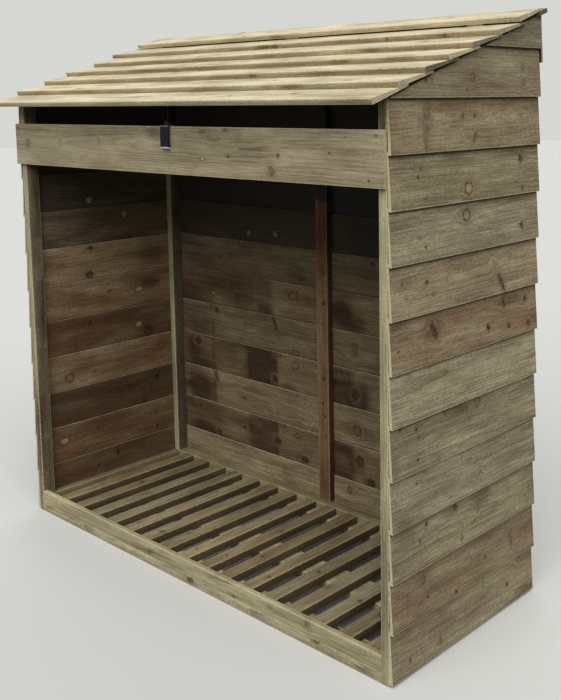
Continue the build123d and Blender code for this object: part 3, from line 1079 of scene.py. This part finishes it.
def scatter_knots(seed: int, length: float, width: float, spacing: float = 260.0) -> list[Knot]:
    """Scatter small knots along a timber whose face isn't seen in the photograph.

    Args:
        seed: Seed of the timber.
        length: Its length.
        width: Its width.
        spacing: Mean distance between two knots.

    Returns:
        The knots.
    """
    draw = random.Random(seed * 31 + 7)
    knots = []
    at = draw.uniform(0.2, 0.9) * spacing
    while at < length - END_CLEAR:
        size = draw.uniform(3.5, 11.0)
        knots.append(Knot(at, draw.uniform(0.12, 0.88) * width, draw.choice((RING, DARK, PIN, FAINT, SPIKE)),
                          size, size * draw.uniform(0.6, 1.0), draw.uniform(-35, 35)))
        at += draw.uniform(0.35, 1.7) * spacing
    return knots


@dataclass
class Assembly:
    """What every sub-assembly works with.

    Args:
        setting: Outer faces of the frame.
        carpenter: Makes and dresses its timbers.
    """

    setting: Setting
    carpenter: Carpenter


@dataclass
class Posts(Assembly):
    """Four planed corner posts with their tops cut to the slope."""

    eaves: float = 1613.5
    pitch: float = 18.2
    face: float = 50.0
    knot_spacing: float = 240.0
    pin_limit: float = 6.0

    def build(self) -> None:
        """Build and dress the posts."""
        inner = Shade(1.0, 0.12, 0.74)
        tones = {
            "left_front_post": Tone(Shade(0.15, 0.05, 0.95), inner, far_end=0.3),
            "right_front_post": Tone(Shade(0.15, 0.05, 1.0), inner, far_end=0.3),
            "left_rear_post": Tone(Shade(0.15, 0.05, 1.1), Shade(1.0, 0.2, 0.58), far_end=0.3),
            "right_rear_post": Tone(Shade(0.35, 0.15, 0.9), inner, far_end=0.3),
        }
        slope = radians(self.pitch)
        cut = Vector((0, self.setting.front, self.eaves)) * MM, Vector((0, -sin(slope), cos(slope)))
        for number, (node, tone) in enumerate(tones.items()):
            low, high = box_of(node)
            # The post's knots are few, and mostly faint.
            knots = [replace(knot, kind=PIN if knot.half_length < self.pin_limit else FAINT)
                     for knot in scatter_knots(40 + number, high.z - low.z, self.face, self.knot_spacing)]
            self.carpenter.squared(node, "post_wood", Z, Y if "left" in node else -Y, tone=tone, arris=1.5,
                                   wave=0.2, cell=14.0, cuts=[cut], knots=knots,
                                   patches=POST_PATCHES.get(number, []), seed=11 + number)


@dataclass
class Floor(Assembly):
    """Bearers, rails and the slats that lie on them."""

    slat_count: int = 16
    slat_width: float = 52.0
    slat_thickness: float = 28.0
    bearer_height: float = 32.0
    first_gap: float = 48.0
    last_gap: float = 40.0
    post_width: float = 28.0
    front_rail: float = 19.0
    rear_rail: float = 50.0
    bearer_knots: float = 90.0
    slat_knots: float = 330.0

    def build(self) -> None:
        """Build and dress the floor."""
        squared = self.carpenter.squared
        left_end = box_of("middle_bearer")[0].x
        for number, node in enumerate(("front_bearer_left", "front_bearer_right", "middle_bearer",
                                       "rear_bearer")):
            low, high = box_of(node)
            seen = "front" in node
            knots = scatter_knots(60 + number, high.x - low.x, self.bearer_knots)
            if seen:
                knots = [replace(knot, along=knot.along - low.x + left_end) for knot in BEARER_KNOTS]
            squared(node, "bearer_wood", X, Z if seen else Y, wave=0.8,
                    tone=Tone(Shade(0.15, 0.1, 0.93)), seed=21 + number, knots=knots)
        squared("front_rail", "rail_wood", X, Z, tone=Tone(Shade(0.12, 0.05, 0.92)), arris=1.5, wave=0.2,
                seed=26, knots=RAIL_KNOTS)
        squared("rear_rail", "rail_wood", X, tone=Tone(Shade(0.55, 0.5, 0.72)), seed=27)
        for number, node in enumerate(("left_bottom_rail", "right_bottom_rail")):
            squared(node, "rail_wood", Y, Z, tone=Tone(Shade(0.85, 0.35, 0.66)), seed=28 + number)
        self.carpenter.fit(self._slats(), "floor_slats", "floor_wood")

    def _slats(self) -> list[Timber]:
        """Describe the slats from left to right.

        Returns:
            The slats.
        """
        first = self.setting.left + self.post_width + self.first_gap
        last = self.setting.right - self.post_width - self.last_gap - self.slat_width
        start = self.setting.front + self.front_rail
        length = self.setting.rear - self.rear_rail - start
        wide, thick = self.slat_width, self.slat_thickness
        slats = []
        for number in range(self.slat_count):
            draw = random.Random(500 + number)
            left = first + number * (last - first) / (self.slat_count - 1)
            # The slats' sides are darkened: painted shade in the gaps between them.
            tone = Tone(Shade(draw.uniform(0.05, 0.45), draw.uniform(0.0, 0.55), draw.uniform(0.66, 0.96)),
                        edge=Shade(0.75, 0.4, 0.34))
            slats.append(Timber("slat", length, ((0.0, 0.0), (0.0, thick), (wide, thick), (wide, 0.0)),
                                axes((left + wide, start, self.bearer_height), Y, -X), tone, arris=1.5,
                                wave=0.25, knots=scatter_knots(90 + number, length, wide, self.slat_knots),
                                seed=100 + number))
        return slats


@dataclass
class LappedWall(Assembly):
    """Shared sizes of the walls of lapped featheredge boards."""

    width: float = 155.0
    cover: float = 145.0
    thin: float = 4.0
    thick: float = 10.0
    first_thick: float = 13.0
    clearance: float = 8.0
    lap_gap: float = 0.2
    knot_spacing: float = 190.0

    def lap_offset(self) -> float:
        """Give how far a board's bottom edge stands out over the one below."""
        share = (self.width - self.cover) / self.width
        return (self.thin + (self.thick - self.thin) * share + self.lap_gap) / (1 - share)

    def section(self, number: int) -> Section:
        """Give a board's section: height above its bottom edge, and distance out from the wall line.

        Args:
            number: Place of the board in the stack.

        Returns:
            Its corners, lower back, lower face, upper face and upper back.
        """
        offset = self.lap_offset() if number else 0.0
        thick = self.thick if number else self.first_thick
        return (0.0, offset), (0.0, offset + thick), (self.width, self.thin), (self.width, 0.0)


@dataclass
class SideWall(LappedWall):
    """One side wall, its upper boards cut to the slope."""

    right: bool = True
    boards: int = 13
    eaves: float = 1604.0
    rear_top: float = 1849.9
    knot_spacing: float = 170.0

    def build(self) -> None:
        """Build and dress the wall."""
        setting, depth = self.setting, self.setting.depth
        run = Vector((0, depth, self.rear_top - self.eaves)).normalized()
        cut = Vector((0, setting.front, self.eaves)) * MM, Vector((0, -run.z, run.y))
        if self.right:
            known, patches, seed = RIGHT_WALL_KNOTS, RIGHT_WALL_PATCHES, 200
            # Their inner faces are darker and browner, as colour and as painted shade inside the store.
            tones = [Tone(outer, Shade(0.4, 0.5, 0.55), near_end=-1.0, far_end=0.2)
                     for outer in RIGHT_WALL_SHADES]
            foot, along = (setting.right, setting.front), Y
        else:
            known, patches, seed = LEFT_WALL_KNOTS, LEFT_WALL_PATCHES, 250
            tones = [Tone(outer, inner, near_end=0.2, far_end=-1.0)
                     for outer, inner in zip(reversed(RIGHT_WALL_SHADES), LEFT_WALL_SHADES)]
            foot, along = (setting.left, setting.rear), -Y
        timbers = []
        for number in range(self.boards):
            place = axes((*foot, self.clearance + number * self.cover), along, Z)
            knots = known.get(number) or scatter_knots(seed + number, depth, self.width,
                                                       self.knot_spacing)
            timbers.append(Timber("board", depth, self.section(number), place, tones[number], knots,
                                  patches.get(number, []), 14.0, 0.7, [cut], seed=seed + number,
                                  lap=self.cover, patched_face=1 if self.right else -1))
        self.carpenter.fit(timbers, "right_cladding" if self.right else "left_cladding", "cladding_wood")


@dataclass
class BackWall(LappedWall):
    """The back wall, with a longer top board that laps further down, and the upright in its middle."""

    full_boards: int = 12
    top: float = 1849.9
    top_lap: float = 52.0
    top_extra: float = 9.0

    def build(self) -> None:
        """Build and dress the wall and its upright."""
        timbers = []
        for number in range(self.full_boards + 1):
            bottom, section, extra = self.clearance + number * self.cover, self.section(number), 0.0
            if number == self.full_boards:
                bottom += self.width - self.cover - self.top_lap
                height, extra = self.top - bottom, self.top_extra
                slope = (self.lap_offset() + self.thick - self.thin) / self.width
                offset = self.thin + self.lap_gap + slope * self.top_lap
                section = (0.0, offset), (0.0, offset + self.thick), (height, self.thin), (height, 0.0)
            length = self.setting.right - self.setting.left
            place = axes((self.setting.right + extra, self.setting.rear, bottom), -X, Z)
            knots = BACK_WALL_KNOTS.get(number) or scatter_knots(300 + number, length, self.width,
                                                                 self.knot_spacing)
            # Its outer faces aren't seen: they take the right wall's colours in another order.
            outer = RIGHT_WALL_SHADES[(number * 5 + 3) % len(RIGHT_WALL_SHADES)]
            tone = Tone(Shade(outer.depth, 0.6 * outer.warmth, 1.15 * outer.light), BACK_WALL_SHADES[number])
            timbers.append(Timber("board", length + extra, section, place, tone, knots,
                                  BACK_WALL_PATCHES.get(number, []), arris=0.7, seed=300 + number,
                                  lap=self.cover, patched_face=-1))
        self.carpenter.fit(timbers, "back_cladding", "back_wood")
        # The upright's front faces the open side; its other faces are darkened as painted shade, and its top
        # by a near black patch of painted shade.
        self.carpenter.squared("back_batten", "batten_wood", Z, wave=0.4, seed=31, knots=UPRIGHT_KNOTS,
                               patches=UPRIGHT_PATCHES,
                               tone=Tone(Shade(0.95, 0.1, 0.5), Shade(0.6, 0.2, 1.2), Shade(0.4, 0.3, 1.0)))


@dataclass
class FasciaBoard(Assembly):
    """The board across the front and the metal clip over its top edge."""

    def build(self) -> None:
        """Build and dress the board, and dress the clip."""
        self.carpenter.squared("fascia", "fascia_wood", X, Z, tone=Tone(Shade(0.12, 0.08, 1.08)), arris=1.5,
                               wave=0.2, seed=33, knots=FASCIA_KNOTS, patches=FASCIA_PATCHES)
        clip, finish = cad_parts["fascia_clip"], BlackSteelFinish().make()
        if not clip.material_slots:
            clip.data.materials.append(finish)
        for slot in clip.material_slots:
            slot.material = finish
        self.carpenter.made.append(clip)


@dataclass
class Roof(Assembly):
    """Seven lapped boards, the battens under them and the packers under the top one."""

    eaves: float = 1613.5
    pitch: float = 18.2
    over_left: tuple[float, ...] = (43.0, 48.0, 40.0, 45.0, 20.0, 77.0, 47.0)
    over_right: float = 22.0
    overhang: float = 83.5
    width: float = 150.0
    covers: tuple[float, ...] = (112.0, 118.0, 108.0, 118.0, 136.0, 115.0)
    front_edge: float = 16.0
    back_edge: float = 5.0
    top_width: float = 132.0
    top_raise: float = 13.5
    gap: float = 0.1
    rear_batten: float = 42.0
    rear_overhang: float = 18.5
    rear_lap: float = 18.0
    packer_set_back: float = 2.0
    batten_front_gap: float = 70.0
    batten_rear_gap: float = 10.0
    batten_thickness: float = 26.0
    post_depth: float = 50.0
    knot_spacing: float = 220.0

    def build(self) -> None:
        """Build and dress the roof."""
        self._set_out()
        for number, start in enumerate(self.starts):
            self._board(number, start)
        for number, side in enumerate(("left", "centre", "right")):
            self._batten(number, side)
        low, high = box_of("rear_roof_batten")
        under, over, wide = self.gap, self.top_raise + self.gap, self.rear_batten
        section = (0.0, under), (0.0, over), (wide, over), (wide, under)
        rear = Timber("batten", high.x - low.x, section, self._place(low.x, self.batten_end - wide),
                      Tone(Shade(0.4, 0.4), far_end=0.9), seed=58, wave=0.3)
        self.carpenter.fit([rear], "rear_roof_batten", "batten_wood")

    def _set_out(self) -> None:
        """Work out where the boards' front edges come up the slope, and how high over it they lie."""
        slope = radians(self.pitch)
        self.up = Vector((0, cos(slope), sin(slope)))
        self.batten_end = (self.setting.depth + self.rear_overhang) / cos(slope)
        top_start = self.batten_end - self.rear_batten + self.rear_lap - self.top_width
        stretch = (top_start + self.overhang) / sum(self.covers)
        self.starts, self.fronts = [-self.overhang], [self.gap]
        for cover in self.covers:
            self.starts.append(self.starts[-1] + cover * stretch)
        for near, far in zip(self.starts, self.starts[1:-1]):
            over_back_edge = (self.back_edge + 2 * self.gap) * self.width / (far - near)
            self.fronts.append(max(self._top_of(self.fronts[-1], far - near) + self.gap, over_back_edge))

    def _place(self, left: float, start: float, along: Vector = X, across: Vector | None = None) -> Matrix:
        """Give the matrix of a timber that lies on the slope, by its left end and its front edge."""
        foot = Vector((left, self.setting.front, self.eaves)) + self.up * start
        return axes(foot, along, across or self.up)

    def _top_of(self, front: float, distance: float) -> float:
        """Give the height of a lapped board's top face behind its front edge."""
        rise = self.gap + self.back_edge - front - self.front_edge
        return front + self.front_edge + rise * distance / self.width

    def _board(self, number: int, start: float) -> None:
        """Build and dress one board.

        Args:
            number: Its place from the front.
            start: Where its front edge comes up the slope.
        """
        last = len(self.starts) - 1
        if number == last:
            wide, low, lap = self.top_width, self.top_raise + 2 * self.gap, 0.0
            low_back = low
        else:
            wide, low, lap = self.width, self.fronts[number], self.starts[number + 1] - start
            low_back = self.gap
        high_back = low_back + self.front_edge - (self.front_edge - self.back_edge) * wide / self.width
        left = self.setting.left - self.over_left[number]
        length = self.setting.right + self.over_right - left
        front = {0: Shade(0.5, 0.05, 1.2), last: Shade(0.5, 0.2, 1.2)}.get(number, Shade(0.6, 0.45, 1.1))
        tone = Tone(Shade(0.18 + 0.05 * (number % 3), 0.08, 1.08), Shade(0.9, 0.3, 0.6), front,
                    far_end=ROOF_ENDS[number])
        section = (0.0, low), (0.0, low + self.front_edge), (wide, high_back), (wide, low_back)
        board = Timber("board", length, section, self._place(left, start), tone,
                       scatter_knots(400 + number, length, wide, self.knot_spacing),
                       ROOF_PATCHES[number], wave=0.4, seed=400 + number, lap=lap)
        self.carpenter.fit([board], f"roof_board_{number + 1}", "roof_wood")

    def _batten(self, number: int, side: str) -> None:
        """Build and dress one batten and the packer over it.

        Args:
            number: Its place from the left.
            side: The side that it is named for.
        """
        low, high = box_of(f"{side}_roof_batten")
        wide, thick, start = high.x - low.x, self.batten_thickness, self.batten_front_gap
        end = (self.setting.depth - self.post_depth) / self.up.y - self.batten_rear_gap
        batten = Timber("batten", end - start, ((0.0, -thick), (0.0, 0.0), (wide, 0.0), (wide, -thick)),
                        self._place(high.x, start, self.up, -X), Tone(Shade(0.4, 0.5)), seed=51 + number,
                        wave=0.4)
        self.carpenter.fit([batten], f"{side}_roof_batten", "batten_wood")
        front, reach = self.starts[-1] + self.packer_set_back, self.starts[-2] + self.width
        under = [self._top_of(self.fronts[-1], at - self.starts[-2]) + self.gap for at in (front, reach)]
        over, wide_packer = self.top_raise + self.gap, reach - front
        section = (0.0, under[0]), (0.0, over), (wide_packer, over), (wide_packer, under[1])
        # The packer's front is lightened well past its finish: painted light where the top board shades it.
        tone = Tone(Shade(0.2, 0.2), edge=Shade(0.0, 0.0, 1.9))
        packer = Timber("packer", wide, section, self._place(low.x, front), tone, seed=54 + number,
                        arris=0.3, wave=0.1)
        self.carpenter.fit([packer], f"{side}_roof_packer", "batten_wood")


@dataclass(frozen=True)
class PhotoCamera:
    """The photograph's viewpoint, from the foot of the left front post, and its lens in pixels."""

    position: tuple[float, float, float] = (3374.5, -1906.2, 1601.0)
    yaw: float = 42.4529
    pitch: float = -7.5710
    roll: float = -0.6263
    focal: float = 970.4945
    centre: Point = (340.2224, 228.5378)
    image: tuple[int, int] = (561, 700)
    sensor: float = 36.0

    def build(self, setting: Setting) -> None:
        """Add the camera and look through it.

        Args:
            setting: Outer faces of the frame.
        """
        camera = bpy.data.cameras.new("photo_camera")
        seat = bpy.data.objects.new("photo_camera", camera)
        bpy.context.scene.collection.objects.link(seat)
        yaw, pitch, roll = (radians(angle) for angle in (self.yaw, self.pitch, self.roll))
        ahead = Vector((-sin(yaw) * cos(pitch), cos(yaw) * cos(pitch), sin(pitch)))
        level = Vector((cos(yaw), sin(yaw), 0))
        upright = level.cross(ahead)
        across = level * cos(roll) + upright * sin(roll)
        matrix = Matrix((across, upright * cos(roll) - level * sin(roll), -ahead)).transposed().to_4x4()
        matrix.translation = (Vector((setting.left, setting.front, 0)) + Vector(self.position)) * MM
        seat.matrix_world = matrix
        wide, tall = self.image
        camera.sensor_width = self.sensor
        camera.lens = self.focal / tall * self.sensor
        camera.shift_x = (wide / 2 - self.centre[0]) / tall
        camera.shift_y = (self.centre[1] - tall / 2) / tall
        bpy.context.scene.camera = seat


@dataclass(frozen=True)
class Studio:
    """A pale floor under soft light, mostly from above as under a bright cloudy sky."""

    floor_size: float = 60000.0
    floor_colour: str = "c9c9c6"
    bounce_colour: str = "484943"
    world_colour: str = "d6d7d3"
    world_strength: float = 0.3
    sky_strength: float = 3.57
    sky_height: float = 52.0
    sky_turn: float = 38.0
    softness: float = 75.0
    fill_strength: float = 1.7
    fill_height: float = 14.0

    def build(self) -> None:
        """Add the floor, the world and the lamps."""
        bpy.ops.object.select_all(action="DESELECT")
        bpy.ops.mesh.primitive_plane_add(size=self.floor_size * MM, location=(0, 0, 0))
        floor = bpy.context.object
        floor.name = "studio_floor"
        floor.data.materials.append(self._floor_finish())
        world = bpy.context.scene.world = bpy.data.worlds.new("studio")
        add = cleared(world)
        strength = add("MapRange", self._seen(add), 0.0, 1.0, self.world_strength, 1.0)
        add("OutputWorld", add("Background", self.world_colour, strength))
        self._lamp("sky_lamp", self.sky_strength, self.sky_height, self.sky_turn)
        # The fill lamp stands low on the far side, and reaches only the sides that the sky lamp misses.
        self._lamp("fill_lamp", self.fill_strength, self.fill_height, self.sky_turn + 180)
        bpy.context.scene.view_settings.view_transform = "Standard"

    def _lamp(self, name: str, strength: float, height: float, turn: float) -> None:
        """Add a soft lamp.

        Args:
            name: Its name.
            strength: Its strength.
            height: Its angle over the floor.
            turn: Its angle round from the front, to the right.
        """
        light = bpy.data.lights.new(name, "SUN")
        light.energy = strength
        light.angle = radians(self.softness)
        lamp = bpy.data.objects.new(name, light)
        bpy.context.scene.collection.objects.link(lamp)
        up, turn = radians(height), radians(turn)
        towards = Vector((sin(turn) * cos(up), -cos(turn) * cos(up), sin(up)))
        lamp.rotation_euler = towards.to_track_quat("Z", "Y").to_euler()

    def _seen(self, add: Adder) -> NodeSocket:
        """Tell rays that the camera sees, straight or by reflection, from those that only light.

        Args:
            add: Adds a node.

        Returns:
            One for a seen ray, else zero.
        """
        rays = add("LightPath").node.outputs
        seen = add("Math MAXIMUM", rays["Is Camera Ray"], rays["Is Glossy Ray"])
        return add("Math MAXIMUM", seen, rays["Is Transmission Ray"])

    def _floor_finish(self) -> Material:
        """Make the floor's matt finish: pale where it is seen, and duller in the light that it gives back.

        Returns:
            The material.
        """
        material = bpy.data.materials.new("matt_studio_floor")
        add = cleared(material)
        colour = add("Mix RGBA", self._seen(add), self.bounce_colour, self.floor_colour)
        add("OutputMaterial", add("BsdfDiffuse", colour))
        return material


def finishes() -> dict[str, Material]:
    """Make the wood finishes.

    Returns:
        The material of each slot.
    """
    planed = partial(WoodFinish, saw_share=0.0, grit_share=0.16, roughness=0.7, relief=0.3)
    made = {
        # Featheredge cladding, rough sawn: dull and slightly furry, olive tan where the treatment shows.
        "cladding_wood": WoodFinish("rough_sawn_treated_spruce_cladding", "9f977b", "75694f", "8f6847",
                                    streak_share=1.0, fleck_share=0.3),
        # The same board on the back wall, in the damp and out of the sun: browner and more streaked.
        "back_wood": WoodFinish("rough_sawn_treated_spruce_back", "988a6c", "6b5a43", "825d3e",
                                streak_share=1.1, fleck_share=0.36),
        # Roof boards, bleached by sun and rain on top: dry, pale and even.
        "roof_wood": WoodFinish("rough_sawn_spruce_roof_boards", "c4bc9f", "9c8f6e", "9b7955",
                                ring_share=0.42, streak_share=0.5, fleck_share=0.18, grit_share=0.2,
                                lap_reach=6.0),
        # Planed posts: smooth, green from the treatment, with dark rough specks.
        "post_wood": planed("planed_treated_spruce_posts", "b3ae8a", "877b67", "9b8a62"),
        # Planed rails: as smooth as the posts, and paler where they are walked and rained on.
        "rail_wood": planed("planed_treated_spruce_rails", "b7ae89", "948a66", "a18c62", grit_share=0.14),
        # Planed slats: smooth, with a tan that differs from slat to slat.
        "floor_wood": planed("planed_treated_spruce_slats", "a39877", "7d7152", "987649", roughness=0.72),
        # Sawn bearers on the ground: pale, fresh and rough.
        "bearer_wood": WoodFinish("sawn_spruce_bearers", "bdb391", "968964", "9b7450"),
        # Planed fascia board: smooth, a warm grey tan with clear rings.
        "fascia_wood": planed("planed_treated_spruce_fascia", "a99e80", "857a5c", "94785a"),
        # Sawn battens: red brown and rough, with little fur on their edges.
        "batten_wood": WoodFinish("sawn_spruce_battens", "957857", "6c503a", "855f3e", fringe_share=0.2),
    }
    return {slot: finish.make() for slot, finish in made.items()}


def main() -> None:
    """Build the store, its setting and its views."""
    logging.basicConfig(level=logging.INFO, format="%(name)s %(message)s")
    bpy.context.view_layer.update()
    setting = Setting.from_frame()
    PhotoCamera().build(setting)
    Studio().build()
    carpenter = Carpenter(finishes())
    for kind in (Posts, Floor, SideWall, partial(SideWall, right=False), BackWall, FasciaBoard, Roof):
        kind(setting, carpenter).build()
    for piece in carpenter.made:
        LOG.info("%s: %d faces", piece.name, len(piece.data.polygons))
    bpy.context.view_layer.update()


if __name__ == "__main__":
    main()
